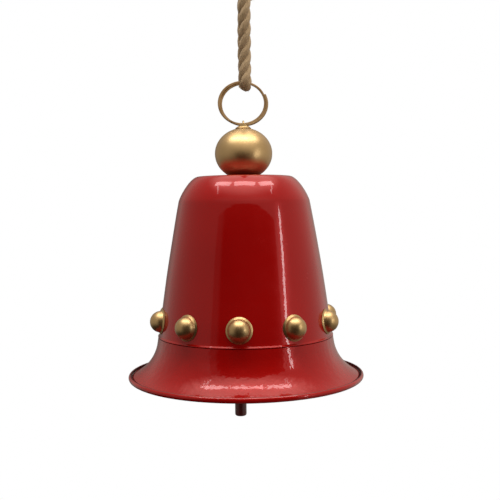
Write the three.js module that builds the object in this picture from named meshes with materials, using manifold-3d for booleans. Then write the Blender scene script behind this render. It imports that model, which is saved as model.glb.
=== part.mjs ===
import * as THREE from "three";
import { mergeVertices } from "three/addons/utils/BufferGeometryUtils.js";
import Module from "manifold-3d";

// Sheet-metal Christmas bell on a loop of jute rope. Millimetres, +Z up, front towards -Y.
// The origin is the inside top of the rope loop, the spot where a hook carries the bell.
// Heights in the dimensions below are measured from the plane of the bell's rim.

const wasm = await Module();
wasm.setup();

// ---------- driving dimensions ----------
const hangHeight = 236; // hook above the plane of the rim
const gap = 0.3; // clearance between neighbouring pieces
const sheet = 0.8; // thickness of the bell's metal
const bellSides = 40; // facets round the bell

const hemCentre = [63.1, 0.95]; // middle of the rolled hem, [radius, height]
const hemRadius = 1.5;
const hemMeets = { outside: 146.8, inside: -182.1 }; // degrees round the hem, at the flare
const flareCentre = [71.95, 23.21]; // the skirt's concave sweep turns about this
const flareRadius = 23.7;
const flareTop = 13; // degrees from vertical where the sweep starts
const flareEnd = 64.74; // degrees from vertical where its outside meets the hem
const flareInsideEnd = 65;

const seamHeight = 23.1;
const seamRadius = 47.4;
const bead = { stand: 0.7, foot: -0.3, edge: 0.5, top: 0.8 }; // heights about the seam's
const neckDrop = 0.6; // the skirt's neck ends this far below the seam
const sleeveTop = 27; // the skirt's upper edge, inside the waist

const shoulderHeight = 96.3;
const shoulderRadius = 35.9;
const crownHeight = 109.8;
const crownFlatRadius = 25;
const crownHole = 2.3;

const studCount = 10;
const studHeight = 31.8;
const studFirstTurn = -3.6; // degrees from the front, seen from above
const studDomeRadius = 5.6;
const studDomeBase = 0.95;
const studFlange = { radius: 6.9, top: 0.65, bevel: 0.4, fillet: 0.35 };
const studShankRadius = 1.2;
const studPeening = { extra: 0.5, height: 0.7 }; // the shank's upset end
const retainerRadius = 3.4;
const retainerThick = 1.0;

const ballRadius = 15.7;
const ballHalfHeight = 14.0;
const ballHeight = 122.2;
const ballSheet = 1.0;
const ballTopHole = 3.1;
const collarHole = 3.0;
const collarWall = 0.6;
const collarFlange = 1.3; // how far its foot spreads beyond the wall
const collarTop = 136.6;
const lipTop = 138.5; // two lips stand up in front of and behind the ring's wire
const lipWidth = 1.8;

const ringHeight = 149.3;
const ringHalfWidth = 12.6; // middle of the flat wire
const ringHalfHeight = 11.3;
const ringWire = { radial: 1.35, axial: 0.75, between: 0.15 };
const ringSpread = 0.57; // how far the two turns have sprung apart
const ringStart = 25; // degrees, where the outer turn begins
const ringSweep = 655; // degrees of wire
const ringCrossing = [290, 355]; // degrees of wire over which it steps to the other turn

const eyeHeight = 137.8; // the ring's lower wire, which the eye hangs on
const eyeInner = 1.45;
const eyeWire = 0.5;
const boltRadius = 1.6;
const boltNeckEnd = 97.0;
const boltHead = { radius: 3.0, height: 2.2, chamfer: 0.9 };
const eyeFoot = { radius: 2.7, from: 131, to: 133 };
const crownWasher = { radius: 8, thick: 1.2 };
const crownNut = { corner: 4.1, thick: 3.2 };

const clapperRadius = 3.2;
const clapperOffset = -3.2; // the clapper hangs a little to one side
const pinHeight = 88;
const clapperTop = 91.4;
const clapperTip = -22.7;
const tipRound = 1.1;
const pinRadius = 1.0;
const pinHead = { radius: 1.7, thick: 0.8 };
const cheekInner = clapperRadius + 0.5; // the yoke's cheeks, either side of the rod
const cheekThick = 0.9;
const cheekHalfWidth = { top: 3.2, waist: 3, foot: 2 };
const cheekRise = { waist: 2, foot: -2.6 }; // heights about the pin's
const yokeThick = 1.0;

const ropeRadius = 3.25;

// Middle line of the rope, from the knot's lower face round to its upper face, [x, y, z].
const ropeRoute = [
  [-0.6, 13, -26.1],
  [-0.6, 12.8, -30],
  [-0.6, 11.6, -38],
  [-0.6, 9.0, -49],
  [-0.6, 6.7, -61],
  [-0.5, 5.6, -70],
  [-0.4, 5.3, -75],
  [-0.3, 3.7, -78.4],
  [0, 0, -79.9],
  [0.1, -3.7, -78.4],
  [0.1, -5.3, -75],
  [0, -5.6, -70],
  [0, -6.7, -61],
  [0, -9.0, -49],
  [0, -11.6, -36],
  [0, -12.8, -24],
  [0, -13, -13],
  [0, -11.2, -3.3],
  [0, -6.4, 1.6],
  [0, 0, 3.25],
  [-0.2, 6.4, 1.6],
  [-0.4, 11.2, -3.3],
  [-0.6, 12.9, -8.5],
  [-0.6, 13, -12.9],
];
const knot = { x: -0.6, y: 13, top: -13.3, bottom: -25.6, radius: 6.3, endRadius: 4.4, round: 3 };
const knotTails = { radius: 2.6, length: 13, angles: [[24, -12], [-24, 8]] }; // [turn, drop]

// ---------- helpers ----------
const degrees = (angle) => (angle * Math.PI) / 180;

// Points of a circular arc in the profile plane, [radius, height].
function arc([centreR, centreZ], radius, from, to, steps) {
  return Array.from({ length: steps + 1 }, (_, i) => {
    const angle = degrees(from + ((to - from) * i) / steps);
    return [centreR + radius * Math.cos(angle), centreZ + radius * Math.sin(angle)];
  });
}

// A body of revolution about +Z from a profile drawn upwards on its outside.
function turned(profile, sides) {
  const points = profile.map(([r, z]) => new THREE.Vector2(r, z));
  return new THREE.LatheGeometry(points, sides).rotateX(Math.PI / 2);
}

// A profile moved sideways by a distance, towards the axis when positive.
function inset(profile, distance) {
  return profile.map(([r, z], i) => {
    const [r0, z0] = profile[Math.max(i - 1, 0)];
    const [r1, z1] = profile[Math.min(i + 1, profile.length - 1)];
    const length = Math.hypot(r1 - r0, z1 - z0);
    return [r - (distance * (z1 - z0)) / length, z + (distance * (r1 - r0)) / length];
  });
}

const closed = (profile) => [...profile, profile[0]];

// A round bar along +Z.
function bar(radius, from, to, sides = 16) {
  return new THREE.CylinderGeometry(radius, radius, to - from, sides)
    .rotateX(Math.PI / 2)
    .translate(0, 0, (from + to) / 2);
}

function slab(width, depth, height, centre) {
  return new THREE.BoxGeometry(width, depth, height).translate(...centre);
}

// A tube of round section along a curve.
function tube(curve, radius, sides, steps) {
  const section = new THREE.Shape();
  for (let i = 0; i < sides; i += 1) {
    const angle = (2 * Math.PI * i) / sides;
    const point = [radius * Math.cos(angle), radius * Math.sin(angle)];
    if (i === 0) section.moveTo(...point);
    else section.lineTo(...point);
  }
  section.closePath();
  return new THREE.ExtrudeGeometry(section, { steps, extrudePath: curve, bevelEnabled: false });
}

const curveThrough = (points) =>
  new THREE.CatmullRomCurve3(points.map((point) => new THREE.Vector3(...point)));

function toSolid(geometry) {
  const bare = geometry.clone();
  bare.deleteAttribute("normal");
  bare.deleteAttribute("uv");
  const merged = mergeVertices(bare, 1e-4);
  return new wasm.Manifold(
    new wasm.Mesh({
      numProp: 3,
      vertProperties: new Float32Array(merged.attributes.position.array),
      triVerts: new Uint32Array(merged.index.array),
    }),
  );
}

function toGeometry(solid) {
  const mesh = solid.getMesh();
  const geometry = new THREE.BufferGeometry();
  geometry.setAttribute("position", new THREE.BufferAttribute(mesh.vertProperties, 3));
  geometry.setIndex(new THREE.BufferAttribute(mesh.triVerts, 1));
  geometry.computeVertexNormals();
  return geometry;
}

const joinAll = (geometries) => toGeometry(geometries.map(toSolid).reduce((sum, one) => sum.add(one)));

const cutAway = (geometry, cutters) =>
  toGeometry(cutters.map(toSolid).reduce((rest, cutter) => rest.subtract(cutter), toSolid(geometry)));

// ---------- materials ----------
const enamel = () => new THREE.MeshStandardMaterial({ color: 0x8c0a10, roughness: 0.18, metalness: 0.2 });
const darkEnamel = () => new THREE.MeshStandardMaterial({ color: 0x4a0608, roughness: 0.35, metalness: 0.1 });
const gold = () => new THREE.MeshStandardMaterial({ color: 0xc2a062, roughness: 0.38, metalness: 0.9 });
const oldBrass = () => new THREE.MeshStandardMaterial({ color: 0x8a6a3a, roughness: 0.42, metalness: 0.9 });
const steel = () => new THREE.MeshStandardMaterial({ color: 0x9a9a98, roughness: 0.45, metalness: 0.9 });
const jute = () => new THREE.MeshStandardMaterial({ color: 0xa58c69, roughness: 0.95, metalness: 0 });

// ---------- the assembly ----------
const bellOrnament = new THREE.Group();
const fromRim = new THREE.Group(); // everything measured from the rim's plane
fromRim.position.z = -hangHeight;
bellOrnament.add(fromRim);

function piece(name, geometry, material, parent = fromRim) {
  const mesh = new THREE.Mesh(geometry, material);
  mesh.name = name;
  parent.add(mesh);
  return mesh;
}

// Waist: seam bead, gently swelling side, rounded shoulder and flat crown.
const waistSide = new THREE.QuadraticBezierCurve(
  new THREE.Vector2(seamRadius, seamHeight + bead.top),
  new THREE.Vector2(42.85, 60.2),
  new THREE.Vector2(shoulderRadius, shoulderHeight),
);
const shoulder = new THREE.CubicBezierCurve(
  new THREE.Vector2(shoulderRadius, shoulderHeight),
  new THREE.Vector2(34.7, 100.5),
  new THREE.Vector2(29, crownHeight),
  new THREE.Vector2(crownFlatRadius, crownHeight),
);
const toPairs = (points) => points.map((point) => [point.x, point.y]);
const waistOuter = [...toPairs(waistSide.getPoints(4)), ...toPairs(shoulder.getPoints(5)).slice(1)];
const waistInner = inset(waistOuter, sheet);
const waistBead = [
  [waistInner[0][0], seamHeight + bead.foot],
  [seamRadius, seamHeight + bead.foot],
  [seamRadius + bead.stand, seamHeight],
  [seamRadius + bead.stand, seamHeight + bead.edge],
];
const waistProfile = closed([
  ...waistBead,
  ...waistOuter,
  [crownHole, crownHeight],
  [crownHole, crownHeight - sheet],
  ...waistInner.reverse(),
]);

// The wall's radius and lean where the studs sit.
function wallAt(height) {
  const above = waistOuter.findIndex(([, z]) => z > height);
  const [r0, z0] = waistOuter[above - 1];
  const [r1, z1] = waistOuter[above];
  const radius = r0 + ((r1 - r0) * (height - z0)) / (z1 - z0);
  return { radius, lean: Math.atan2(r0 - r1, z1 - z0) };
}
const studWall = wallAt(studHeight);

// Places a geometry modelled along +Z so that it stands on the wall, pointing outwards.
function ontoWall(geometry, turn) {
  return geometry
    .clone()
    .rotateX(Math.PI / 2 - studWall.lean)
    .translate(0, -studWall.radius, studHeight)
    .rotateZ(turn);
}
const studTurns = Array.from({ length: studCount }, (_, i) => degrees(studFirstTurn + (360 / studCount) * i));

const studBore = bar(studShankRadius + gap, -4 * sheet, 4 * sheet, 8);
piece(
  "waist_shell",
  cutAway(turned(waistProfile, bellSides), studTurns.map((turn) => ontoWall(studBore, turn))),
  enamel(),
);

// Skirt: sleeve inside the waist, straight neck, concave flare and rolled hem.
const flareInner = arc(flareCentre, flareRadius + sheet, 180 + flareInsideEnd, 180 + flareTop, 5);
const flareOuter = arc(flareCentre, flareRadius, 180 + flareTop, 180 + flareEnd, 5);
const neckTop = seamHeight - neckDrop;
const sleeveFoot = waistInner[waistInner.length - 1][0] - gap;
const sleeveLean = (sleeveTop - neckTop) * Math.tan(studWall.lean);
const skirtProfile = closed([
  ...flareInner,
  [sleeveFoot - sheet, neckTop - sheet],
  [sleeveFoot - sheet - sleeveLean, sleeveTop],
  [sleeveFoot - sleeveLean, sleeveTop],
  [sleeveFoot, neckTop],
  [seamRadius, neckTop],
  ...flareOuter,
  ...arc(hemCentre, hemRadius, hemMeets.outside, hemMeets.inside, 9).slice(1, -1),
]);
piece("skirt_shell", turned(skirtProfile.reverse(), bellSides), enamel());

// Studs: a dome on a thin flange, with a shank through the wall and a retainer on the inside.
const studDome = arc([0, 0], 1, 0, 90, 4).map(([r, z]) => [
  studDomeRadius * r,
  studDomeBase + studDomeRadius * z,
]);
const studProfile = [
  [0, -sheet],
  [studFlange.radius, -sheet],
  [studFlange.radius, studFlange.top - studFlange.bevel],
  [studFlange.radius - studFlange.bevel, studFlange.top],
  [studDomeRadius + studFlange.fillet, studFlange.top],
  ...studDome.slice(0, -1),
  [0, studDomeBase + studDomeRadius],
];
const wallFoot = studHeight - studFlange.radius - gap;
const wallHead = studHeight + studFlange.radius + gap;
const wallCutter = turned(
  [
    [0, wallFoot],
    [wallAt(wallFoot).radius + gap, wallFoot],
    [wallAt(wallHead).radius + gap, wallHead],
    [0, wallHead],
  ],
  bellSides,
);
const studHead = cutAway(ontoWall(turned(studProfile, 12), 0), [wallCutter]);
const shankEnd = -(gap + sheet + gap + retainerThick + gap);
const studShank = ontoWall(
  turned(
    [
      [0, shankEnd - studPeening.height],
      [studShankRadius + studPeening.extra, shankEnd - studPeening.height],
      [studShankRadius + studPeening.extra, shankEnd],
      [studShankRadius, shankEnd],
      [studShankRadius, studFlange.top],
      [0, studFlange.top],
    ],
    8,
  ),
  0,
);
const stud = joinAll([studHead, studShank]);
const retainerFace = -(sheet + gap * 2);
const retainer = ontoWall(
  turned(
    closed([
      [studShankRadius + gap, retainerFace],
      [studShankRadius + gap, retainerFace - retainerThick],
      [retainerRadius, retainerFace - retainerThick],
      [retainerRadius, retainerFace],
    ]),
    8,
  ),
  0,
);
studTurns.forEach((turn, i) => {
  const number = String(i + 1).padStart(2, "0");
  piece(`stud_${number}`, stud, gold()).rotation.z = turn;
  piece(`stud_retainer_${number}`, retainer, steel()).rotation.z = turn;
});

// Ball finial: a hollow flattened ball, open where it sits on the crown and round the eye.
function ballArc(radius, halfHeight, from, to, steps) {
  return arc([0, 0], 1, from, to, steps).map(([r, z]) => [radius * r, ballHeight + halfHeight * z]);
}
const ballFoot = -(Math.asin((ballHeight - crownHeight - gap) / ballHalfHeight) * 180) / Math.PI;
const ballMouth = (Math.acos(ballTopHole / ballRadius) * 180) / Math.PI;
const ballProfile = closed([
  ...ballArc(ballRadius, ballHalfHeight, ballFoot, ballMouth, 9),
  ...ballArc(ballRadius - ballSheet, ballHalfHeight - ballSheet, ballMouth - 1, ballFoot + 2, 7),
]);
piece("ball_finial", turned(ballProfile, 28), gold());

// Collar: a small flared ferrule round the foot of the eye, notched on both sides for the ring.
const collarFoot = ballHeight + ballHalfHeight * Math.sqrt(1 - (ballTopHole / ballRadius) ** 2) + gap;
const collarDrop = 0.15; // its foot follows the ball
const collarProfile = closed([
  [collarHole, collarFoot],
  [collarHole + collarWall + collarFlange, collarFoot - collarDrop],
  [collarHole + collarWall + collarFlange - 0.2, collarFoot + collarDrop],
  [collarHole + collarWall, collarTop],
  [collarHole + collarWall, lipTop],
  [collarHole, lipTop],
]);
function notch(side) {
  const reach = 2 * collarHole;
  const outline = [
    [lipWidth / 2, lipTop + sheet],
    [lipWidth / 2, lipTop],
    [collarHole + collarWall - 0.1, collarTop],
    [reach, collarTop],
    [reach, lipTop + sheet],
  ];
  const shape = new THREE.Shape(outline.map(([x, z]) => new THREE.Vector2(x * side, z)));
  return new THREE.ExtrudeGeometry(shape, { depth: 2 * reach, bevelEnabled: false })
    .rotateX(Math.PI / 2)
    .translate(0, reach, 0);
}
piece("ball_collar", cutAway(turned(collarProfile, 24), [notch(1), notch(-1)]), gold());

// Eye bolt: a bent wire eye on a long bolt that holds ball, crown and clapper together.
const eyeMiddle = eyeInner + eyeWire;
const eyePath = new THREE.CurvePath();
const eyePoint = (y, z) => new THREE.Vector3(0, y, z);
const eyeArch = arc([0, eyeHeight], eyeMiddle, 180, 0, 8).map(([y, z]) => eyePoint(y, z));
const eyeBottom = (eyeFoot.from + eyeFoot.to) / 2;
const eyeLine = [eyePoint(-eyeMiddle, eyeBottom), ...eyeArch, eyePoint(eyeMiddle, eyeBottom)];
for (let i = 1; i < eyeLine.length; i += 1) {
  eyePath.add(new THREE.LineCurve3(eyeLine[i - 1], eyeLine[i]));
}
const eyePlug = bar(eyeFoot.radius, eyeFoot.from, eyeFoot.to, 12);
const boltShank = bar(boltRadius, boltNeckEnd - boltHead.height / 2, eyeBottom, 12);
const boltEnd = turned(
  [
    [0, boltNeckEnd - boltHead.height],
    [boltHead.radius - boltHead.chamfer, boltNeckEnd - boltHead.height],
    [boltHead.radius, boltNeckEnd - boltHead.chamfer],
    [boltHead.radius, boltNeckEnd],
    [0, boltNeckEnd],
  ],
  12,
);
piece("eye_bolt", joinAll([tube(eyePath, eyeWire, 8, 18), eyePlug, boltShank, boltEnd]), gold());

// Crown washer and nut, inside the bell.
const boltClear = boltRadius + gap;
const washerTop = crownHeight - sheet - gap;
const washerFoot = washerTop - crownWasher.thick;
const washerProfile = closed([
  [boltClear, washerFoot],
  [crownWasher.radius, washerFoot],
  [crownWasher.radius, washerTop],
  [boltClear, washerTop],
]);
piece("crown_washer", turned(washerProfile, 16), steel());

const nutTop = washerFoot - gap;
const nutFoot = nutTop - crownNut.thick;
const nutBore = bar(boltClear, nutFoot - gap, nutTop + gap, 12);
piece("crown_nut", cutAway(bar(crownNut.corner, nutFoot, nutTop, 6), [nutBore]), steel());

// Split ring: two turns of flat wire, sprung a little apart.
class SplitRingCurve extends THREE.Curve {
  getPoint(t, target = new THREE.Vector3()) {
    const swept = ringSweep * t;
    const angle = degrees(ringStart - swept);
    const crossing = THREE.MathUtils.smoothstep(swept, ...ringCrossing) * 2 - 1;
    const side = ringSpread * Math.abs(Math.cos(angle + degrees(30))) * -crossing;
    const step = (ringWire.axial + ringWire.between) / 2;
    return target.set(
      (ringHalfWidth + side) * Math.cos(angle),
      crossing * step,
      ringHeight + (ringHalfHeight + side) * Math.sin(angle),
    );
  }
}
const wireSection = new THREE.Shape([
  new THREE.Vector2(-ringWire.axial / 2, -ringWire.radial / 2),
  new THREE.Vector2(ringWire.axial / 2, -ringWire.radial / 2),
  new THREE.Vector2(ringWire.axial / 2, ringWire.radial / 2),
  new THREE.Vector2(-ringWire.axial / 2, ringWire.radial / 2),
]);
const ringShape = { steps: 72, extrudePath: new SplitRingCurve(), bevelEnabled: false };
piece("split_ring", new THREE.ExtrudeGeometry(wireSection, ringShape), oldBrass());

// Clapper: a bent yoke that turns on the bolt's head, a pin across it and a plain rod.
const yokeTop = boltNeckEnd + gap + yokeThick;
const cheekShape = new THREE.Shape([
  new THREE.Vector2(cheekHalfWidth.top, yokeTop),
  new THREE.Vector2(-cheekHalfWidth.top, yokeTop),
  new THREE.Vector2(clapperOffset - cheekHalfWidth.waist, pinHeight + cheekRise.waist),
  new THREE.Vector2(clapperOffset - cheekHalfWidth.foot, pinHeight + cheekRise.foot),
  new THREE.Vector2(clapperOffset + cheekHalfWidth.foot, pinHeight + cheekRise.foot),
  new THREE.Vector2(clapperOffset + cheekHalfWidth.waist, pinHeight + cheekRise.waist),
]);
function cheek(innerFace) {
  return new THREE.ExtrudeGeometry(cheekShape, { depth: cheekThick, bevelEnabled: false })
    .rotateX(Math.PI / 2)
    .translate(0, innerFace + cheekThick, 0);
}
const alongPin = (geometry) => geometry.rotateX(Math.PI / 2).translate(clapperOffset, 0, pinHeight);
const yokeDepth = (cheekInner + cheekThick) * 2;
const yokeSolid = joinAll([
  cheek(cheekInner),
  cheek(-cheekInner - cheekThick),
  slab(2 * cheekHalfWidth.top, yokeDepth, yokeThick, [0, 0, yokeTop - yokeThick / 2]),
]);
const pinBore = alongPin(bar(pinRadius + gap, -yokeDepth, yokeDepth, 12));
const boltBore = bar(boltClear, pinHeight, yokeTop + yokeThick, 12);
piece("clapper_yoke", cutAway(yokeSolid, [boltBore, pinBore]), steel());

const pinEnd = cheekInner + cheekThick + gap;
piece(
  "clapper_pin",
  alongPin(
    turned(
      [
        [0, -pinEnd - pinHead.thick],
        [pinHead.radius, -pinEnd - pinHead.thick],
        [pinHead.radius, -pinEnd],
        [pinRadius, -pinEnd],
        [pinRadius, pinEnd],
        [pinHead.radius, pinEnd],
        [pinHead.radius, pinEnd + pinHead.thick],
        [0, pinEnd + pinHead.thick],
      ],
      12,
    ),
  ),
  steel(),
);

const rodProfile = [
  [0, clapperTip],
  ...arc([clapperRadius - tipRound, clapperTip + tipRound], tipRound, -90, 0, 3),
  ...arc([clapperRadius - tipRound, clapperTop - tipRound], tipRound, 0, 90, 3),
  [0, clapperTop],
];
const rod = turned(rodProfile, 16).translate(clapperOffset, 0, 0);
piece("clapper_rod", cutAway(rod, [pinBore]), darkEnamel());

// Rope: one loop through the ring, joined by a knot on its rear leg.
piece("rope_loop", tube(curveThrough(ropeRoute), ropeRadius, 10, 44), jute(), bellOrnament);

const knotBody = turned(
  [
    [0, knot.bottom],
    [knot.endRadius, knot.bottom],
    [knot.radius, knot.bottom + knot.round],
    [knot.radius, knot.top - knot.round],
    [knot.endRadius, knot.top],
    [0, knot.top],
  ],
  14,
).translate(knot.x, knot.y, 0);
const knotMiddle = (knot.top + knot.bottom) / 2;
function tail([turn, drop]) {
  return bar(knotTails.radius, 0, knotTails.length, 10)
    .rotateX(-Math.PI / 2 - degrees(drop))
    .rotateZ(degrees(turn))
    .translate(knot.x, knot.y, knotMiddle);
}
piece("rope_knot", joinAll([knotBody, ...knotTails.angles.map(tail)]), jute(), bellOrnament);

export default bellOrnament;
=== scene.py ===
"""Sheet-metal Christmas bell on a loop of jute rope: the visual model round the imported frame.

Sizes are millimetres and MM turns them into Blender's metres. +Z is up, the front faces -Y,
and the origin is the inside top of the rope loop. Heights named as "above the rim" are
measured from the plane of the bell's rim, HANG_HEIGHT below the origin.
"""

import math
import random

import bmesh
import bpy
import numpy as np
from mathutils import Euler, Matrix, Vector, noise


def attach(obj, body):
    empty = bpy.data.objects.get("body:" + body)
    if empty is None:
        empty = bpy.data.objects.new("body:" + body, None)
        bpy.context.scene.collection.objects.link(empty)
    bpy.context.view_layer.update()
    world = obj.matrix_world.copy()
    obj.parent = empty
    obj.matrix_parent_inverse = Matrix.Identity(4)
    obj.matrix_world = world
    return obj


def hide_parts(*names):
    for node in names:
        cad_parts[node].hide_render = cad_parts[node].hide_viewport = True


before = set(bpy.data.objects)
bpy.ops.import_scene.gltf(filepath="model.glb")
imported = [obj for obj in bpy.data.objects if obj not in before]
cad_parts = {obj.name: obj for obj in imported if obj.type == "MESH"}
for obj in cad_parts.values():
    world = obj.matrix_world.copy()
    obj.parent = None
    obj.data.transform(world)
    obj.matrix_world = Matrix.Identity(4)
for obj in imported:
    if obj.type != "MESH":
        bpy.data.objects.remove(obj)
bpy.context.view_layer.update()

# ---------- driving dimensions, in millimetres ----------
MM = 0.001
HANG_HEIGHT = 236.0
GAP = 0.3
SHEET = 0.8
BELL_SIDES = 208

HEM_CENTRE = (63.1, 0.95)
HEM_RADIUS = 1.5
HEM_SHEET = 0.4
FLARE_CENTRE = (71.95, 23.21)
FLARE_RADIUS = 23.7
FLARE_TOP = 13.0  # degrees from vertical
FLARE_INSIDE_END = 65.0
CURL_START = 64.9  # where the hem's open curl leaves the sweep
HEM_LIP = 76  # where the curl ends, in degrees round the hem
SEAM_HEIGHT = 23.1
SEAM_RADIUS = 47.4
SLEEVE_TOP = 27.0
NECK_DROP = 0.42
SHOULDER = (35.9, 96.3)
CROWN_HEIGHT = 109.8
CROWN_FLAT = 25.0
CROWN_HOLE = 2.3

STUD_COUNT = 10
STUD_HEIGHT = 31.8
STUD_FIRST_TURN = -3.6
DOME_RADIUS = 5.8
DOME_FOOT = 0.72
SHANK_RADIUS = 1.2

BALL_RADIUS = 15.7
BALL_HALF_HEIGHT = 14.0
BALL_HEIGHT = 122.2
BALL_SHEET = 1.0
BALL_HOLE = 3.1
COLLAR_TOP = 136.6
COLLAR_HOLE = 3.0
LIP_TOP = 138.5
LIP_WIDTH = 1.8

RING_HEIGHT = 149.3
RING_HALF = (12.6, 11.3)
RING_WIRE = (1.35, 0.75, 0.15)  # radial, axial, between the turns
RING_SPREAD = 0.57
RING_START = 25.0
RING_SWEEP = 655.0

EYE_HEIGHT = 137.8
EYE_RADIUS = 1.95
EYE_WIRE = 0.5
BOLT_RADIUS = 1.6
BOLT_NECK_END = 97.0

CLAPPER_RADIUS = 3.2
CLAPPER_OFFSET = -3.2
PIN_HEIGHT = 88.0
CLAPPER_TOP = 91.4
CLAPPER_TIP = -22.7

ROPE_RADIUS = 3.25
ROPE_ASIDE = 1.3  # the rope hangs a little right of the ring's middle
# Middle line of the rope, once round the loop from under the ring's wire, up the front leg.
ROPE_ROUTE = [
    (0, 0, -79.9), (0.1, -3.7, -78.4), (0.1, -5.3, -75), (0, -5.6, -70), (0, -6.7, -61),
    (0, -9.0, -49), (0, -11.6, -36), (0, -12.8, -24), (0, -13, -13), (0, -11.2, -3.3),
    (0, -6.4, 1.6), (0, 0, 3.25), (-0.2, 6.4, 1.6), (-0.4, 11.2, -3.3), (-0.6, 12.9, -8.5),
    (-0.6, 13, -12.9), (-0.6, 13, -19.5), (-0.6, 13, -26.1), (-0.6, 12.8, -30), (-0.6, 11.6, -38),
    (-0.6, 9.0, -49), (-0.6, 6.7, -61), (-0.5, 5.6, -70), (-0.4, 5.3, -75), (-0.3, 3.7, -78.4),
]
KNOT_MIDDLE = (-0.6, 13.0, -19.45)

# ---------- camera ----------
FIELD_OF_VIEW = 34.71  # degrees
CAMERA_PLACE = (0.0029, -0.440, -0.1432)  # metres
CAMERA_DOWN = 3.045  # degrees below level
CAMERA_ROLL = -0.66  # degrees

camera_data = bpy.data.cameras.new("camera")
camera_data.sensor_width = 36
camera_data.angle = math.radians(FIELD_OF_VIEW)
camera_data.clip_start = 0.01
camera = bpy.data.objects.new("camera", camera_data)
bpy.context.scene.collection.objects.link(camera)
camera.location = CAMERA_PLACE
level = Euler((math.radians(90 - CAMERA_DOWN), 0, 0)).to_matrix()
roll = Euler((0, 0, math.radians(CAMERA_ROLL))).to_matrix()
camera.rotation_euler = (level @ roll).to_euler()
bpy.context.scene.camera = camera
bpy.context.scene.view_settings.view_transform = "Standard"


# ---------- mesh helpers ----------
def grid_faces(rows, columns, wrap_rows=False):
    """Quads of a grid of points whose columns join round."""
    faces = []
    for i in range(rows if wrap_rows else rows - 1):
        for j in range(columns):
            below, above = i * columns, ((i + 1) % rows) * columns
            right = (j + 1) % columns
            faces.append((below + j, below + right, above + right, above + j))
    return faces


def arc(centre, radius, start, end, steps):
    """Points of a circular arc in the profile plane, [radius, height]."""
    angle = np.radians(np.linspace(start, end, steps + 1))
    return [(centre[0] + radius * math.cos(a), centre[1] + radius * math.sin(a)) for a in angle]


def bezier(points, steps):
    t = np.linspace(0, 1, steps + 1)[:, None]
    n = len(points) - 1
    weights = [math.comb(n, k) * (1 - t) ** (n - k) * t**k for k in range(n + 1)]
    return [tuple(p) for p in sum(w * np.array(q, float) for w, q in zip(weights, points))]


def inset(profile, distance):
    """A profile that runs upwards, moved towards the axis by a distance."""
    moved = []
    for i, (r, z) in enumerate(profile):
        r0, z0 = profile[max(i - 1, 0)]
        r1, z1 = profile[min(i + 1, len(profile) - 1)]
        length = math.hypot(r1 - r0, z1 - z0)
        moved.append((r - distance * (z1 - z0) / length, z + distance * (r1 - r0) / length))
    return moved


def lathe(profile, sides, loop=False):
    """A body of revolution about +Z. A loop profile runs anticlockwise; any other has its
    first and last points on the axis."""
    ring_points = profile if loop else profile[1:-1]
    angle = np.arange(sides) * 2 * math.pi / sides
    points = [(r * math.cos(a), r * math.sin(a), z) for r, z in ring_points for a in angle]
    faces = grid_faces(len(ring_points), sides, loop)
    if not loop:
        foot, top = len(points), len(points) + 1
        points += [(0, 0, profile[0][1]), (0, 0, profile[-1][1])]
        last = (len(ring_points) - 1) * sides
        for j in range(sides):
            right = (j + 1) % sides
            faces.append((foot, right, j))
            faces.append((top, last + j, last + right))
    return np.array(points), faces


def sweep(centres, across, upward, section, loop=False):
    """Moves a section's (across, upward) points along centres, with flat ends."""
    section = np.asarray(section, float)
    rows = len(centres)
    points = (
        centres[:, None, :]
        + across[:, None, :] * section[..., 0:1]
        + upward[:, None, :] * section[..., 1:2]
    )
    columns = points.shape[1]
    faces = grid_faces(rows, columns, loop)
    if not loop:
        faces.append(tuple(reversed(range(columns))))
        faces.append(tuple((rows - 1) * columns + j for j in range(columns)))
    return points.reshape(-1, 3), faces


def joined(*parts):
    """Several (points, faces) in one."""
    points, faces, start = [], [], 0
    for some_points, some_faces in parts:
        points.append(np.asarray(some_points, float))
        faces += [tuple(start + k for k in face) for face in some_faces]
        start += len(some_points)
    return np.concatenate(points), faces


def mesh_object(name, points, faces):
    mesh = bpy.data.meshes.new(name)
    mesh.from_pydata((np.asarray(points) * MM).tolist(), [], faces)
    mesh.update()
    made = bpy.data.objects.new(name, mesh)
    bpy.context.scene.collection.objects.link(made)
    return made


def finish_piece(made, material, body, nodes, sharp=35.0):
    """Outward faces, smooth shading with sharp creases, a finish, a body and the nodes it
    stands for."""
    work = bmesh.new()
    work.from_mesh(made.data)
    bmesh.ops.recalc_face_normals(work, faces=work.faces)
    work.to_mesh(made.data)
    work.free()
    made.data.shade_smooth()
    made.data.set_sharp_from_angle(angle=math.radians(sharp))
    made.data.materials.append(material)
    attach(made, body)
    if nodes:
        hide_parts(*nodes)
    return made


def bore(made, cutters):
    """Cuts closed (points, faces) bodies out of an object."""
    tool = mesh_object("bore_tool", *joined(*cutters))
    cut = made.modifiers.new("bore", "BOOLEAN")
    cut.operation = "DIFFERENCE"
    cut.solver = "EXACT"
    cut.object = tool
    bpy.context.view_layer.update()
    solid = made.evaluated_get(bpy.context.evaluated_depsgraph_get())
    mesh = bpy.data.meshes.new_from_object(solid)
    made.modifiers.clear()
    made.data = mesh
    bpy.data.objects.remove(tool)
    return made


def above_rim(points):
    """Points given above the rim's plane, in the frame's own height."""
    return np.asarray(points, float) + np.array([0, 0, -HANG_HEIGHT])


def rod_between(start, end, radius, sides=24):
    """A closed round bar between two points."""
    start, end = np.asarray(start, float), np.asarray(end, float)
    along = (end - start) / np.linalg.norm(end - start)
    guide = np.array([1.0, 0, 0]) if abs(along[0]) < 0.9 else np.array([0, 1.0, 0])
    side = np.cross(along, guide)
    side /= np.linalg.norm(side)
    other = np.cross(along, side)
    angle = np.arange(sides) * 2 * math.pi / sides
    section = np.stack([radius * np.cos(angle), radius * np.sin(angle)], 1)
    centres = np.stack([start, end])
    return sweep(centres, np.stack([side, side]), np.stack([other, other]), section)


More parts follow.
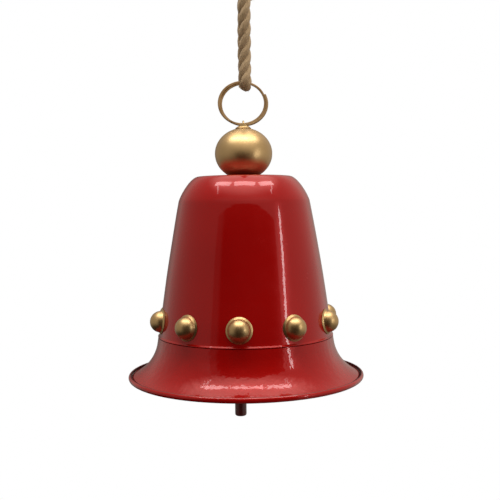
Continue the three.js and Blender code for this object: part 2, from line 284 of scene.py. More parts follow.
# ---------- material helpers ----------
class Finish:
    """A Principled material with shorthand for its noise, ramps and bump."""

    def __init__(self, name, **values):
        self.material = bpy.data.materials.new(name)
        self.material.use_nodes = True
        self.nodes = self.material.node_tree.nodes
        self.links = self.material.node_tree.links
        self.shader = self.nodes["Principled BSDF"]
        for socket, value in values.items():
            self.shader.inputs[socket.replace("_", " ")].default_value = value
        self.place = self.nodes.new("ShaderNodeTexCoord").outputs["Object"]

    def stretched(self, scale, source=None):
        mapping = self.nodes.new("ShaderNodeMapping")
        mapping.inputs["Scale"].default_value = scale
        self.links.new(source or self.place, mapping.inputs["Vector"])
        return mapping.outputs["Vector"]

    def noise(self, scale, detail=3.0, roughness=0.5, vector=None):
        texture = self.nodes.new("ShaderNodeTexNoise")
        texture.inputs["Scale"].default_value = scale
        texture.inputs["Detail"].default_value = detail
        texture.inputs["Roughness"].default_value = roughness
        self.links.new(vector or self.place, texture.inputs["Vector"])
        return texture.outputs["Fac"]

    def ramp(self, fac, *stops):
        ramp = self.nodes.new("ShaderNodeValToRGB")
        elements = ramp.color_ramp.elements
        while len(elements) < len(stops):
            elements.new(0.5)
        for element, (position, colour) in zip(elements, stops):
            element.position = position
            element.color = (*colour, 1)
        self.links.new(fac, ramp.inputs["Fac"])
        return ramp.outputs["Color"]

    def between(self, fac, low, high, span=(0.3, 0.7)):
        """A noise value mapped to a range."""
        mapped = self.nodes.new("ShaderNodeMapRange")
        for socket, value in zip(("From Min", "From Max", "To Min", "To Max"), (*span, low, high)):
            mapped.inputs[socket].default_value = value
        self.links.new(fac, mapped.inputs["Value"])
        return mapped.outputs["Result"]

    def mixed(self, fac, one, other):
        mix = self.nodes.new("ShaderNodeMix")
        mix.data_type = "RGBA"
        self.links.new(fac, mix.inputs["Factor"])
        self.links.new(one, mix.inputs["A"])
        self.links.new(other, mix.inputs["B"])
        return mix.outputs["Result"]

    def bump(self, height, strength, distance, below=None):
        bump = self.nodes.new("ShaderNodeBump")
        bump.inputs["Strength"].default_value = strength
        bump.inputs["Distance"].default_value = distance
        self.links.new(height, bump.inputs["Height"])
        if below is not None:
            self.links.new(below, bump.inputs["Normal"])
        return bump.outputs["Normal"]

    def plug(self, source, socket):
        self.links.new(source, self.shader.inputs[socket])
        return self


def glossy_enamel(name, ripple, ripples=480):
    """Candy red under a clear coat. ripple is the depth in metres of its fine unevenness."""
    f = Finish(
        name,
        Metallic=0.14,
        Specular_IOR_Level=0.1,
        Coat_Weight=1.0,
        Coat_Roughness=0.02,
        Coat_IOR=1.32,
    )
    cloud = f.noise(22, 3)
    red = f.ramp(cloud, (0.3, (0.285, 0.0014, 0.0011)), (0.7, (0.325, 0.0020, 0.0015)))
    f.plug(red, "Base Color")
    f.plug(f.between(f.noise(140, 4), 0.20, 0.28), "Roughness")
    waves = f.bump(f.noise(60, 1), 0.25, 0.00012)
    peel = f.bump(f.noise(ripples, 2), 0.6, ripple, waves)
    f.plug(peel, "Normal").plug(peel, "Coat Normal")
    return f.material


# Dark red enamel for the clapper; on the skirt's curl the same material is painted shade.
def dark_enamel_and_shade():
    f = Finish("dark_red_enamel_and_painted_shade", Coat_Weight=0.35, Coat_Roughness=0.15)
    red = f.ramp(f.noise(90, 4), (0.35, (0.085, 0.0015, 0.0015)), (0.7, (0.12, 0.002, 0.002)))
    f.plug(red, "Base Color")
    f.plug(f.between(f.noise(300, 3), 0.3, 0.45), "Roughness")
    f.plug(f.bump(f.noise(500, 3), 0.3, 0.00004), "Normal")
    return f.material


def satin_gold(name, turned_lines):
    """Lacquered gold paint on metal. turned_lines gives faint rings round the upright axis."""
    f = Finish(name, Metallic=1.0, Coat_Weight=0.45, Coat_Roughness=0.36)
    cloud = f.noise(70, 4)
    f.plug(f.ramp(cloud, (0.3, (0.47, 0.310, 0.130)), (0.7, (0.55, 0.375, 0.17))), "Base Color")
    f.plug(f.between(f.noise(420, 3), 0.38, 0.44), "Roughness")
    grain = f.bump(f.noise(1500, 2), 0.10, 0.00003)
    if turned_lines:
        lines = f.noise(1.0, 3, 0.6, f.stretched((25, 25, 1900)))
        grain = f.bump(lines, 0.16, 0.00003, grain)
    f.plug(grain, "Normal")
    return f.material


def ring_brass():
    f = Finish("ring_brass", Metallic=1.0)
    f.plug(f.ramp(f.noise(160, 5), (0.3, (0.34, 0.20, 0.085)), (0.7, (0.60, 0.41, 0.22))), "Base Color")
    f.plug(f.between(f.noise(500, 4), 0.22, 0.34), "Roughness")
    f.plug(f.bump(f.noise(900, 4), 0.25, 0.00004), "Normal")
    return f.material


def plain_steel():
    f = Finish("plain_steel", Metallic=1.0)
    f.plug(f.ramp(f.noise(260, 5), (0.3, (0.34, 0.34, 0.33)), (0.7, (0.50, 0.50, 0.47))), "Base Color")
    f.plug(f.between(f.noise(700, 4), 0.32, 0.5), "Roughness")
    f.plug(f.bump(f.noise(1400, 3), 0.2, 0.00004), "Normal")
    return f.material


def jute(name, lighter=1.0):
    """Twisted bast fibre. The UV map runs along the yarns in U and round them in V."""
    f = Finish(name, Roughness=0.9, Specular_IOR_Level=0.25, Sheen_Weight=0.15, Sheen_Roughness=0.5)
    along_yarn = f.nodes.new("ShaderNodeTexCoord").outputs["UV"]
    streaks = f.noise(1.0, 5, 0.65, f.stretched((0.35, 9.0, 1.0), along_yarn))
    fibres = f.noise(1.0, 4, 0.7, f.stretched((1.2, 34.0, 1.0), along_yarn))
    patches = f.noise(130, 3)

    def stop(position, *colour):
        return position, tuple(lighter * c for c in colour)

    dark_straw, mid_straw = stop(0.30, 0.17, 0.10, 0.045), stop(0.52, 0.45, 0.315, 0.175)
    straw = f.ramp(streaks, dark_straw, mid_straw, stop(0.75, 0.72, 0.55, 0.37))
    cooler = f.ramp(fibres, stop(0.3, 0.24, 0.155, 0.075), stop(0.6, 0.55, 0.40, 0.235))
    f.plug(f.mixed(f.between(patches, 0.2, 0.8), straw, cooler), "Base Color")
    f.plug(f.bump(fibres, 0.8, 0.00025, f.bump(streaks, 0.6, 0.0003)), "Normal")
    return f.material


ENAMEL = glossy_enamel("red_enamel_waist", 0.00003)
RIM_ENAMEL = glossy_enamel("red_enamel_skirt", 0.00024, 260)
DARK_ENAMEL_AND_SHADE = dark_enamel_and_shade()
BALL_GOLD = satin_gold("satin_gold_turned", True)
STUD_GOLD = satin_gold("satin_gold", False)
BRASS = ring_brass()
STEEL = plain_steel()
JUTE = jute("jute_rope")


# ---------- rope ----------
def smooth_loop(points, spacing):
    """A closed smooth curve through points, at even steps of about the spacing."""
    p = np.asarray(points, float)
    dense = []
    for i in range(len(p)):
        a, b, c, d = p[i - 1], p[i], p[(i + 1) % len(p)], p[(i + 2) % len(p)]
        ta, tb, tc = (math.sqrt(np.linalg.norm(v)) for v in (b - a, c - b, d - c))
        m1 = (b - a) / ta - (c - a) / (ta + tb) + (c - b) / tb
        m2 = (c - b) / tb - (d - b) / (tb + tc) + (d - c) / tc
        m1, m2 = m1 * tb, m2 * tb
        for t in np.linspace(0, 1, 24, endpoint=False):
            h = (2 * t**3 - 3 * t**2 + 1, t**3 - 2 * t**2 + t, 3 * t**2 - 2 * t**3, t**3 - t**2)
            dense.append(h[0] * b + h[1] * m1 + h[2] * c + h[3] * m2)
    return even_steps(np.array(dense + [dense[0]]), spacing)


def even_steps(line, spacing):
    """The same line at even steps, ends included."""
    run = np.concatenate([[0], np.cumsum(np.linalg.norm(np.diff(line, axis=0), axis=1))])
    count = max(int(round(run[-1] / spacing)), 2)
    at = np.linspace(0, run[-1], count + 1)
    return np.stack([np.interp(at, run, line[:, k]) for k in range(3)], 1)


def frames_along(line, guide=(1.0, 0.0, 0.0)):
    """Unit tangent, and two directions across a line, kept close to a guide direction."""
    tangent = np.gradient(line, axis=0)
    if np.allclose(line[0], line[-1]):
        tangent[0] = tangent[-1] = line[1] - line[-2]
    tangent /= np.linalg.norm(tangent, axis=1)[:, None]
    across = np.array(guide) - tangent * (tangent @ np.array(guide))[:, None]
    across /= np.linalg.norm(across, axis=1)[:, None]
    return tangent, across, np.cross(tangent, across)


STRAND_SIDES = 28
YARNS = 7
YARN_LEAN = 30  # degrees from the strand's own line
STRAND_REACH = 0.49  # from the rope's middle to a strand's, in rope radii
STRAND_THICK = 0.55  # a strand's radius, in rope radii
STRAND_UV_STEP = 91.0  # keeps the three strands' textures apart


def strand_roughness(along, turn, seed):
    """Unevenness of a strand's surface, from -1 to 1."""
    return noise.noise(Vector((along * 0.5, 2.2 * math.cos(turn), 2.2 * math.sin(turn) + seed)))


def laid_rope(line, radius, lay, guide=(1.0, 0.0, 0.0), splay=None, loop=False, seed=0):
    """Three strands with a right-hand lay, each a twist of yarns.

    radius may be one value or one per point. splay is how far the strands spread at each point.
    Returns points, faces and a (U, V) pair for each face corner."""
    line = np.asarray(line, float)
    radius = np.broadcast_to(np.asarray(radius, float), (len(line),))
    step = np.linalg.norm(np.diff(line, axis=0), axis=1)
    run = np.concatenate([[0], np.cumsum(step)])
    _, across, upward = frames_along(line, guide)
    points, faces, uvs = [], [], []
    turn_of_section = np.arange(STRAND_SIDES) * 2 * math.pi / STRAND_SIDES
    for strand in range(3):
        phase = 2 * math.pi * (run / lay + strand / 3)
        spread = np.ones(len(line)) if splay is None else splay
        wander = np.array([noise.noise(Vector((s * 0.09, strand * 7.3 + seed, 1.5))) for s in run])
        outward = across * np.cos(phase)[:, None] + upward * np.sin(phase)[:, None]
        reach = STRAND_REACH * radius * spread * (1 + 0.05 * wander)
        centre = line + outward * reach[:, None]
        along = np.gradient(centre, axis=0)
        along /= np.linalg.norm(along, axis=1)[:, None]
        side = np.cross(along, outward)
        side /= np.linalg.norm(side, axis=1)[:, None]
        outward = np.cross(side, along)
        thick = STRAND_THICK * radius * (1 + 0.05 * np.roll(wander, 9))
        twist = run * math.tan(math.radians(YARN_LEAN)) / (0.5 * ROPE_RADIUS)
        ring = turn_of_section[None, :] + 0 * run[:, None]
        ridge = np.abs(np.cos(YARNS * (ring + twist[:, None]) / 2))
        rough = [[strand_roughness(s, a, strand + seed) for a in turn_of_section] for s in run]
        size = thick[:, None] * (0.93 + 0.12 * ridge + 0.05 * np.array(rough))
        flat = np.where(np.cos(ring) < 0, 0.86, 1.0)  # strands bed against each other
        section = np.stack([size * np.cos(ring) * flat, size * np.sin(ring) * 1.06], 2)
        if loop:
            section = section[:-1]
            some = sweep(centre[:-1], outward[:-1], side[:-1], section, True)
        else:
            some = sweep(centre, outward, side, section)
        start = sum(len(p) for p in points)
        points.append(some[0])
        rows = len(section)
        for face in some[1]:
            faces.append(tuple(start + k for k in face))
            corner = []
            for k in face:
                i, j = divmod(k, STRAND_SIDES)
                if i == 0 and max(face) // STRAND_SIDES == rows - 1 and loop:
                    i = rows
                if j == 0 and any(q % STRAND_SIDES == STRAND_SIDES - 1 for q in face):
                    j = STRAND_SIDES
                v = j * 2 * math.pi / STRAND_SIDES + twist[min(i, len(twist) - 1)]
                u = run[min(i, len(run) - 1)] + strand * STRAND_UV_STEP
                corner.append((u, v * radius[0] / 2))
            uvs.append(corner)
    return np.concatenate(points), faces, uvs


def joined_rope(*ropes):
    """Several laid ropes in one, with their corners' UVs."""
    points, faces = joined(*((r[0], r[1]) for r in ropes))
    return points, faces, [uv for r in ropes for uv in r[2]]


def rope_object(name, rope):
    """An object from a laid rope, with its UV map along the yarns."""
    points, faces, uvs = rope
    made = mesh_object(name, points, faces)
    layer = made.data.uv_layers.new(name="yarn")
    flat = np.array([c for corner in uvs for c in corner], np.float32)
    layer.data.foreach_set("uv", flat.ravel())
    return made


def smoothstep(low, high, value):
    t = np.clip((np.asarray(value, float) - low) / (high - low), 0, 1)
    return t * t * (3 - 2 * t)


ROPE_STEP = 0.45
ROPE_LAY = 20.5  # about one turn of the strands, made to divide the loop evenly
rope_line = smooth_loop([(x + ROPE_ASIDE, y, z) for x, y, z in ROPE_ROUTE], ROPE_STEP)
rope_length = float(np.linalg.norm(np.diff(rope_line, axis=0), axis=1).sum())
rope_lay = rope_length / round(rope_length / ROPE_LAY)
# The knot's wraps draw the rope in to about half its thickness.
NECK = 0.52
to_knot = abs(rope_line[:, 2] - KNOT_MIDDLE[2])
in_knot = (rope_line[:, 1] > 0) & (to_knot < 12)
necked = np.where(in_knot, smoothstep(4.0, 9.0, to_knot), 1.0)
rope_thickness = ROPE_RADIUS * (NECK + (1 - NECK) * necked)
rope_points, rope_faces, rope_uvs = laid_rope(rope_line, rope_thickness, rope_lay, loop=True)

WIRE_UNDERSIDE = -76.3
BIGHT_DEPTH = 7.5
BIGHT_SQUASH = 0.55
BIGHT_NARROWING = 0.46
BIGHT_ASIDE = 0.8


def packed(points):
    """Points of the rope as they lie under load: flat beneath the ring's wire, in a blunt V."""
    points = np.array(points)
    depth = np.clip(WIRE_UNDERSIDE - points[:, 2], 0, None)
    points[:, 2] = np.where(depth > 0, WIRE_UNDERSIDE - depth * BIGHT_SQUASH, points[:, 2])
    into_bight = smoothstep(0, BIGHT_DEPTH, depth)
    points[:, 0] = ROPE_ASIDE + (points[:, 0] - ROPE_ASIDE) * (1 - BIGHT_NARROWING * into_bight)
    points[:, 0] += BIGHT_ASIDE * into_bight
    return points


rope_points = packed(rope_points)
rope = rope_object("rope_strands", (rope_points, rope_faces, rope_uvs))
finish_piece(rope, JUTE, "hanger", ["rope_loop"], 60)


# The knot: two packed wraps round the joined ends, with two frayed tails.
def helix(turns, radius, rise, start_turn=0.0, steps=40):
    """A helix about +Z, centred on the origin. start_turn is in turns."""
    t = np.linspace(0, turns, int(turns * steps) + 1)
    angle = 2 * math.pi * (t + start_turn)
    height = rise * (t / turns - 0.5)
    return np.stack([radius * np.cos(angle), radius * np.sin(angle), height], 1)


def tail_line(turn, drop, start_height, length):
    """A tail's middle line out of the back of the knot, turned and dropped by some degrees."""
    turn, drop = math.radians(turn), math.radians(drop)
    level = math.cos(drop)
    out = np.array([-math.sin(turn) * level, math.cos(turn) * level, -math.sin(drop)])
    t = np.linspace(0, 1, 34)[:, None]
    sag = np.array([0, 0, -1.0]) * TAIL_SAG * t**2
    return np.array([0, TAIL_ROOT, start_height]) + out * length * t + sag


WRAP_RADIUS, WRAP_LAY = 2.5, 13.0
TAIL_RADIUS, TAIL_LAY = 2.35, 14.0
TAIL_LENGTH, TAIL_ROOT, TAIL_SAG = 12.4, 1.5, 1.2
TAILS = [(24, -12, 1.2), (-24, 4, -0.8)]  # turn, drop and height of the start

knot_at = np.array(KNOT_MIDDLE)
wraps = helix(turns=2.15, radius=3.75, rise=7.4, start_turn=0.62)
wrap_rope = laid_rope(knot_at + wraps, WRAP_RADIUS, WRAP_LAY, guide=(0, 0, 1.0), seed=3)
tails = []
for turn, drop, start_height in TAILS:
    line = even_steps(knot_at + tail_line(turn, drop, start_height, TAIL_LENGTH), ROPE_STEP)
    splay = 1 + 0.55 * smoothstep(0.55, 1.0, np.linspace(0, 1, len(line)))
    tails.append(laid_rope(line, TAIL_RADIUS, TAIL_LAY, splay=splay, seed=5 + turn))
knot = rope_object("knot_wraps", joined_rope(wrap_rope, *tails))
finish_piece(knot, JUTE, "hanger", ["rope_knot"], 60)


# Loose fibres: short tapered hairs that leave the yarns at a shallow angle.
def hair(start, direction, length, width, bend):
    """A three-sided tapered sliver in four stages."""
    direction = direction / np.linalg.norm(direction)
    guide = np.array([0, 0, 1.0]) if abs(direction[2]) < 0.9 else np.array([1.0, 0, 0])
    side = np.cross(direction, guide)
    side /= np.linalg.norm(side)
    other = np.cross(direction, side)
    points, faces = [], []
    for stage in range(4):
        t = stage / 4
        middle = start + direction * length * t + bend * length * t * t
        for k in range(3):
            a = 2 * math.pi * k / 3
            points.append(middle + width * (1 - 0.8 * t) * (side * math.cos(a) + other * math.sin(a)))
    points.append(start + direction * length + bend * length)
    for stage in range(3):
        for k in range(3):
            a, b = stage * 3 + k, stage * 3 + (k + 1) % 3
            faces.append((a, b, b + 3, a + 3))
    faces += [(9, 10, 12), (10, 11, 12), (11, 9, 12), (2, 1, 0)]
    return np.array(points), faces


def fuzz(points, count, reach, seed):
    """Hairs rooted just inside randomly chosen surface points."""
    draw = random.Random(seed)
    hairs = []
    for _ in range(count):
        i = draw.randrange(STRAND_SIDES, len(points) - STRAND_SIDES)
        root = points[i]
        along = points[i] - points[i - STRAND_SIDES]
        if np.linalg.norm(along) < 1e-6 or np.linalg.norm(along) > 2:
            continue
        along = along / np.linalg.norm(along) * draw.choice((-1, 1))
        j = i - STRAND_SIDES // 2
        outward = points[i] - points[j]
        outward /= max(np.linalg.norm(outward), 1e-6)
        direction = along + outward * draw.uniform(0.10, 0.75)
        bend = np.array([draw.uniform(-1, 1) for _ in range(3)]) * 0.45
        length = reach * draw.uniform(0.35, 1.0) ** 2
        hairs.append(hair(root - outward * 0.05, direction, length, draw.uniform(0.022, 0.05), bend))
    return joined(*hairs)


def frayed_end(line, count, seed):
    """A spray of fibres from the end of a tail."""
    draw = random.Random(seed)
    end, along = line[-1], line[-1] - line[-4]
    along = along / np.linalg.norm(along)
    hairs = []
    for _ in range(count):
        off = np.array([draw.uniform(-1, 1) for _ in range(3)])
        off -= along * (off @ along)
        direction = along + off * 0.45
        bend = np.array([0, 0, -0.12]) + off * 0.15
        start = end + off * 1.5 - along * 1.2
        hairs.append(hair(start, direction, draw.uniform(1.6, 3.4), 0.07, bend))
    return joined(*hairs)


fibre_parts = [
    fuzz(rope_points, count=620, reach=2.6, seed=11),
    fuzz(wrap_rope[0], count=120, reach=2.2, seed=12),
]
for number, tail in enumerate(tails):
    tail_middle = tail[0].reshape(3, -1, STRAND_SIDES, 3).mean(axis=(0, 2))
    fibre_parts.append(frayed_end(tail_middle, count=70, seed=20 + number))
fibres = mesh_object("rope_fibres", *joined(*fibre_parts))
finish_piece(fibres, jute("jute_fibres", 1.15), "hanger", [], 60)

rope_path = [tuple(float(p) * MM for p in point) for point in packed(rope_line)[::4]]
rope_path.append(rope_path[0])


# ---------- bell: waist and skirt ----------
WAVER = 0.14
WAVER_FROM, WAVER_FULL = 12, 30  # distances from the axis


def waver(points):
    """Hand-worked sheet: shallow hollows of about a tenth of a millimetre."""
    moved = np.array(points)
    for i, (x, y, z) in enumerate(points):
        r = math.hypot(x, y)
        if r > WAVER_FROM:
            depth = WAVER * noise.noise(Vector((x / r * 1.6, y / r * 1.6, z / 26.0)))
            depth *= smoothstep(WAVER_FROM, WAVER_FULL, r)
            moved[i, 0] += depth * x / r
            moved[i, 1] += depth * y / r
    return moved


side = bezier([(SEAM_RADIUS, SEAM_HEIGHT + 0.8), (42.85, 60.2), SHOULDER], 44)
shoulder = bezier([SHOULDER, (34.7, 100.5), (29, CROWN_HEIGHT), (CROWN_FLAT, CROWN_HEIGHT)], 22)
crown = [(r, CROWN_HEIGHT) for r in (20, 14, 9, 5, 2.7)]
outer = side + shoulder[1:] + crown
inner = list(reversed(inset(side + shoulder[1:], SHEET)))
# The seam's ledge from its foot up, as distances from the seam's own radius and height.
ledge = [(0.12, -0.3), (0.40, -0.32), (0.62, -0.24), (0.76, -0.10), (0.80, 0.04), (0.76, 0.14)]
ledge += [(0.56, 0.36), (0.30, 0.64), (0.05, 0.90), (0.0, 1.05)]
waist_profile = (
    [(inner[-1][0], SEAM_HEIGHT - 0.3)]
    + [(SEAM_RADIUS + r, SEAM_HEIGHT + z) for r, z in ledge]
    + outer[1:]
    + [(CROWN_HOLE, CROWN_HEIGHT - 0.3), (CROWN_HOLE, CROWN_HEIGHT - SHEET)]
    + [(r, CROWN_HEIGHT - SHEET) for r in (5, 9, 14, 20)]
    + inner
)
waist_points, waist_faces = lathe(waist_profile, BELL_SIDES, loop=True)
waist = mesh_object("bell_waist", waver(above_rim(waist_points)), waist_faces)


def wall_at(height):
    """The outer wall's radius and lean at a height above the rim."""
    above = next(i for i, (_, z) in enumerate(outer) if z > height)
    (r0, z0), (r1, z1) = outer[above - 1], outer[above]
    return r0 + (r1 - r0) * (height - z0) / (z1 - z0), math.atan2(r0 - r1, z1 - z0)


wall_radius, wall_lean = wall_at(STUD_HEIGHT)
stud_turns = [math.radians(STUD_FIRST_TURN + 360 / STUD_COUNT * i) for i in range(STUD_COUNT)]


def onto_wall(points, turn):
    """Points modelled about +Z stood on the wall, pointing outwards."""
    points = np.asarray(points, float)
    lean = wall_lean
    out = np.array([0, -math.cos(lean), math.sin(lean)])
    up = np.array([0, math.sin(lean), math.cos(lean)])
    placed = points[:, :1] * np.array([1.0, 0, 0]) + points[:, 1:2] * up + points[:, 2:] * out
    placed += np.array([0, -wall_radius, STUD_HEIGHT - HANG_HEIGHT])
    c, s = math.cos(turn), math.sin(turn)
    return placed @ np.array([[c, s, 0], [-s, c, 0], [0, 0, 1]])


bores = []
for turn in stud_turns:
    bore_points, bore_faces = rod_between((0, 0, -4), (0, 0, 4), SHANK_RADIUS + GAP)
    bores.append((onto_wall(bore_points, turn), bore_faces))
bore(waist, bores)
finish_piece(waist, ENAMEL, "bell", ["waist_shell"])

# The skirt: round the hem's outside and back round its hollow, up the flare to the seam, up and
# over the sleeve that stands inside the waist, and down the inside of the flare.
flare_out = arc(FLARE_CENTRE, FLARE_RADIUS, 180 + CURL_START, 180 + FLARE_TOP, 40)
flare_in = arc(FLARE_CENTRE, FLARE_RADIUS + SHEET, 180 + FLARE_TOP, 180 + FLARE_INSIDE_END, 30)
neck_top = SEAM_HEIGHT - NECK_DROP
sleeve = inner[-1][0] - GAP
sleeve_head = sleeve - (SLEEVE_TOP - neck_top) * math.tan(wall_lean)
hem_outside = arc(HEM_CENTRE, HEM_RADIUS, -182, HEM_LIP, 34)
hem_hollow = arc(HEM_CENTRE, HEM_RADIUS - HEM_SHEET, HEM_LIP + 4, -128, 22)
knee = [(62.28, 0.55), (62.14, 1.05), (62.06, 1.5)]
skirt_profile = (
    hem_outside
    + hem_hollow
    + knee
    + flare_out
    + [(48.44, 20.2), (48.24, 21.6)]
    + [(SEAM_RADIUS + 0.68, neck_top - 0.06), (SEAM_RADIUS + 0.3, neck_top)]
    + [(sleeve, neck_top), (sleeve_head, SLEEVE_TOP - 0.15), (sleeve_head - 0.2, SLEEVE_TOP)]
    + [(sleeve_head - SHEET, SLEEVE_TOP - 0.15), (sleeve - SHEET, neck_top - 1)]
    + flare_in[:-1]
)
skirt_points, skirt_faces = lathe(skirt_profile, BELL_SIDES, loop=True)
skirt = mesh_object("bell_skirt", waver(above_rim(skirt_points)), skirt_faces)
finish_piece(skirt, RIM_ENAMEL, "bell", ["skirt_shell"])
# The open curl's lip, hollow and knee get the dark enamel as painted shade, standing for the shade
# inside the curl.
skirt.data.materials.append(DARK_ENAMEL_AND_SHADE)
LIP_ROWS = 3
first_shade_row = (len(hem_outside) - LIP_ROWS) * BELL_SIDES
shade_rows = LIP_ROWS + len(hem_hollow) + 1
for polygon in skirt.data.polygons[first_shade_row : first_shade_row + shade_rows * BELL_SIDES]:
    polygon.material_index = 1

# ---------- studs and their retainers ----------
# Radius and height above the wall: the peened end, the shank, the flange, its fillet, the dome.
stud_profile = (
    [(0, -3.4), (1.35, -3.4), (1.62, -3.28), (1.7, -3.05), (1.7, -2.78), (SHANK_RADIUS, -2.7)]
    + [(SHANK_RADIUS, -1.2), (SHANK_RADIUS, 0.22), (3.0, 0.22), (5.0, 0.22), (6.2, 0.20)]
    + [(6.62, 0.14), (6.78, 0.16), (6.80, 0.28), (6.68, 0.38), (6.46, 0.48), (6.26, 0.60)]
    + arc((6.42, 1.22), 0.60, -108, -174, 6)
    + arc((0, DOME_FOOT), DOME_RADIUS, 6, 88, 22)
    + [(0, DOME_FOOT + DOME_RADIUS)]
)


def saddled(points):
    """Bends the flange back so that it beds on the round wall."""
    points = np.array(points)
    r = np.hypot(points[:, 0], points[:, 1])
    weight = smoothstep(1.3, 5.0, r) * (1 - smoothstep(0.7, 3.2, points[:, 2]))
    points[:, 2] -= weight * points[:, 0] ** 2 / (2 * wall_radius)
    return points


# A round spring retainer with a dished middle.
clip_profile = [(1.9, -1.44), (2.4, -1.42), (3.25, -1.42), (3.4, -1.62), (3.4, -2.25)]
clip_profile += [(3.2, -2.38), (2.3, -2.25), (1.9, -1.95), (SHANK_RADIUS + 0.28, -1.75)]
stud_points, stud_faces = lathe(stud_profile, 48)
clip_points, clip_faces = lathe(clip_profile, 36, loop=True)
for i, turn in enumerate(stud_turns):
    number = f"{i + 1:02d}"
    stud = mesh_object(f"dome_stud_{number}", onto_wall(saddled(stud_points), turn), stud_faces)
    finish_piece(stud, STUD_GOLD, "bell", [f"stud_{number}"])
    clip = mesh_object(f"stud_clip_{number}", onto_wall(clip_points, turn), clip_faces)
    finish_piece(clip, STEEL, "bell", [f"stud_retainer_{number}"])


# ---------- finial: ball, collar, eye bolt, washer and nut ----------
def ball_arc(depth, start, end, steps):
    """The flattened ball's profile at a depth below its surface."""
    wide, high = BALL_RADIUS - depth, BALL_HALF_HEIGHT - depth
    return [(wide * r, BALL_HEIGHT + high * z) for r, z in arc((0, 0), 1, start, end, steps)]


ball_foot = -math.degrees(math.asin((BALL_HEIGHT - CROWN_HEIGHT - GAP) / BALL_HALF_HEIGHT))
ball_mouth = math.degrees(math.acos(BALL_HOLE / BALL_RADIUS))
ball_profile = ball_arc(0, ball_foot, ball_mouth, 60)
ball_profile += ball_arc(BALL_SHEET, ball_mouth - 1, ball_foot + 2, 30)
ball_points, ball_faces = lathe(ball_profile, 128, loop=True)
ball = mesh_object("finial_ball", above_rim(ball_points), ball_faces)
finish_piece(ball, BALL_GOLD, "bell", ["ball_finial"])

ball_top = BALL_HEIGHT + BALL_HALF_HEIGHT * math.sqrt(1 - (BALL_HOLE / BALL_RADIUS) ** 2)
collar_foot = ball_top + GAP
collar_profile = (
    [(COLLAR_HOLE, collar_foot), (3.6, collar_foot - 0.12), (4.3, collar_foot - 0.30)]
    + [(4.42, collar_foot - 0.26), (4.38, collar_foot - 0.16), (4.15, collar_foot - 0.02)]
    + [(3.92, collar_foot + 0.12), (3.76, collar_foot + 0.28), (3.68, COLLAR_TOP)]
    + [(3.6, COLLAR_TOP + 0.3), (3.55, LIP_TOP - 0.1), (3.45, LIP_TOP), (3.1, LIP_TOP)]
    + [(COLLAR_HOLE, LIP_TOP - 0.1)]
)
collar_points, collar_faces = lathe(collar_profile, 96, loop=True)
collar = mesh_object("finial_collar", above_rim(collar_points), collar_faces)


def notch(mirror):
    """What is cut from one side of the ferrule so that the ring's wire passes."""
    low, high = (COLLAR_HOLE + 0.7, COLLAR_TOP), (LIP_WIDTH / 2, LIP_TOP)
    slope = bezier([low, (1.6, COLLAR_TOP + 0.5), high], 12)
    outline = slope + [(LIP_WIDTH / 2, LIP_TOP + 1), (6, LIP_TOP + 1), (6, COLLAR_TOP)]
    points = [(mirror * x, y, z) for y in (-6, 6) for x, z in outline]
    count = len(outline)
    faces = [(i, (i + 1) % count, count + (i + 1) % count, count + i) for i in range(count)]
    faces += [tuple(reversed(range(count))), tuple(range(count, 2 * count))]
    if mirror < 0:
        faces = [tuple(reversed(face)) for face in faces]
    return above_rim(points), faces


bore(collar, [notch(1), notch(-1)])
finish_piece(collar, STUD_GOLD, "bell", ["ball_collar"])

EYE_FOOT = 131.6
WIRE_SIDES = 16
THREAD_START, THREAD_TURNS, THREAD_PITCH = 98.4, 22, 0.45
THREAD_ROOT = 1.42
THREAD_RISE = 0.22  # from a root to the next crest

eye_leg = [(EYE_RADIUS, EYE_FOOT), (EYE_RADIUS, 134.5)]
eye_arch = arc((0, EYE_HEIGHT), EYE_RADIUS, 180, 0, 28)
eye_outline = [(-y, z) for y, z in eye_leg] + eye_arch + list(reversed(eye_leg))
eye_line = even_steps(np.array([(0, y, z) for y, z in eye_outline]), 0.35)
_, eye_across, eye_upward = frames_along(eye_line)
wire_turn = np.arange(WIRE_SIDES) * 2 * math.pi / WIRE_SIDES
wire_section = np.stack([EYE_WIRE * np.cos(wire_turn), EYE_WIRE * np.sin(wire_turn)], 1)
wire_sections = np.broadcast_to(wire_section, (len(eye_line), WIRE_SIDES, 2))
eye = sweep(eye_line, eye_across, eye_upward, wire_sections)
thread = []
for k in range(THREAD_TURNS):
    z = THREAD_START + THREAD_PITCH * k
    thread += [(THREAD_ROOT, z), (BOLT_RADIUS, z + THREAD_RISE)]
bolt_head = [(0, 94.8), (1.7, 94.8), (2.4, 95.05), (2.85, 95.5), (3.0, 96.1), (3.0, 96.75)]
bolt_head += [(2.75, BOLT_NECK_END), (BOLT_RADIUS, BOLT_NECK_END)]
eye_base = [(2.0, 131.0), (2.7, 131.15), (2.7, 132.6), (2.5, 133.0), (1.4, 133.1), (0, 133.1)]
bolt_neck, bolt_shank = [(BOLT_RADIUS, 98.2)], [(BOLT_RADIUS, 108.6), (BOLT_RADIUS, 130.6)]
bolt_profile = bolt_head + bolt_neck + thread + bolt_shank + eye_base
bolt_points, bolt_faces = joined(eye, lathe(bolt_profile, 32))
bolt = mesh_object("finial_eye_bolt", above_rim(bolt_points), bolt_faces)
finish_piece(bolt, STUD_GOLD, "bell", ["eye_bolt"])

WASHER_RADIUS = 8.0
WASHER_THICK = 1.2
washer_top = CROWN_HEIGHT - SHEET - GAP
washer_foot = washer_top - WASHER_THICK
washer_profile = (
    [(BOLT_RADIUS + GAP, washer_foot + 0.1), (2.0, washer_foot)]
    + [(WASHER_RADIUS - 0.2, washer_foot), (WASHER_RADIUS, washer_foot + 0.2)]
    + [(WASHER_RADIUS, washer_top - 0.15), (WASHER_RADIUS - 0.15, washer_top)]
    + [(2.0, washer_top), (BOLT_RADIUS + GAP, washer_top - 0.1)]
)
washer_points, washer_faces = lathe(washer_profile, 64, loop=True)
washer = mesh_object("crown_washer_plate", above_rim(washer_points), washer_faces)
finish_piece(washer, STEEL, "bell", ["crown_washer"])


